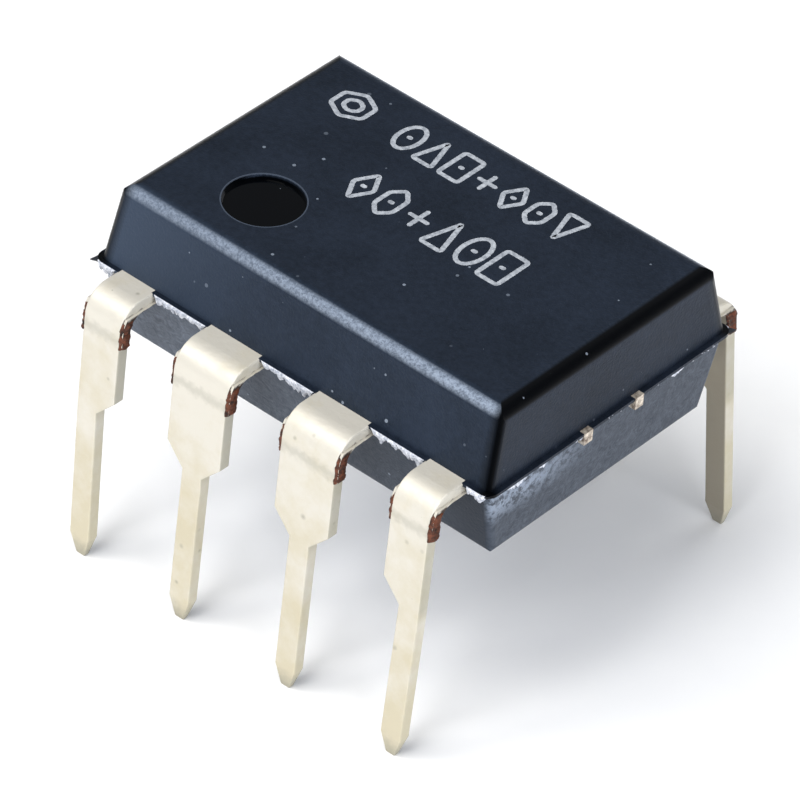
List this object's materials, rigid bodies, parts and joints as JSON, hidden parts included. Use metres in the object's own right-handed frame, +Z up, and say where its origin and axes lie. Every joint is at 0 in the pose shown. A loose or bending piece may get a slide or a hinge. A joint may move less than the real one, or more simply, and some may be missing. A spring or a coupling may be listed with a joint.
{
  "type": "dual in-line integrated circuit package",
  "caption": "Moulded black dual in-line chip package with two rows of bent tinned leads for through-hole boards, a die on a pad and bond wires inside.",
  "frame": {"origin": "centre of the lead pattern, on the plane of the lead tips", "axes": "+X along the body, away from the ejector mark and lead 1; +Y across the rows, from the row of leads 1 to 4 to the row of leads 5 to 8; +Z up, from the lead tips to the top face"},
  "size_m": [0.0094, 0.0092, 0.0073],
  "materials": {
    "epoxy_moulding": "dark blue-black filled epoxy moulding, spark-eroded matt",
    "tinned_lead": "matt tin plate on copper alloy strip, warm grey-white",
    "copper_alloy": "bare stamped copper alloy, sheared ends",
    "silver_adhesive": "silver-filled die-attach adhesive",
    "silicon": "polished silicon die",
    "gold_wire": "bright drawn gold wire"
  },
  "bodies": {
    "root": {"moulded_body": "epoxy_moulding", "lead_1": "tinned_lead", "lead_2": "tinned_lead", "lead_3": "tinned_lead", "lead_4": "tinned_lead", "lead_5": "tinned_lead", "lead_6": "tinned_lead", "lead_7": "tinned_lead", "lead_8": "tinned_lead", "die_pad": "copper_alloy", "die_adhesive": "silver_adhesive", "silicon_die": "silicon", "bond_wire_1": "gold_wire", "bond_wire_2": "gold_wire", "bond_wire_3": "gold_wire", "bond_wire_4": "gold_wire", "bond_wire_5": "gold_wire", "bond_wire_6": "gold_wire", "bond_wire_7": "gold_wire", "bond_wire_8": "gold_wire"}
  },
  "joints": []
}
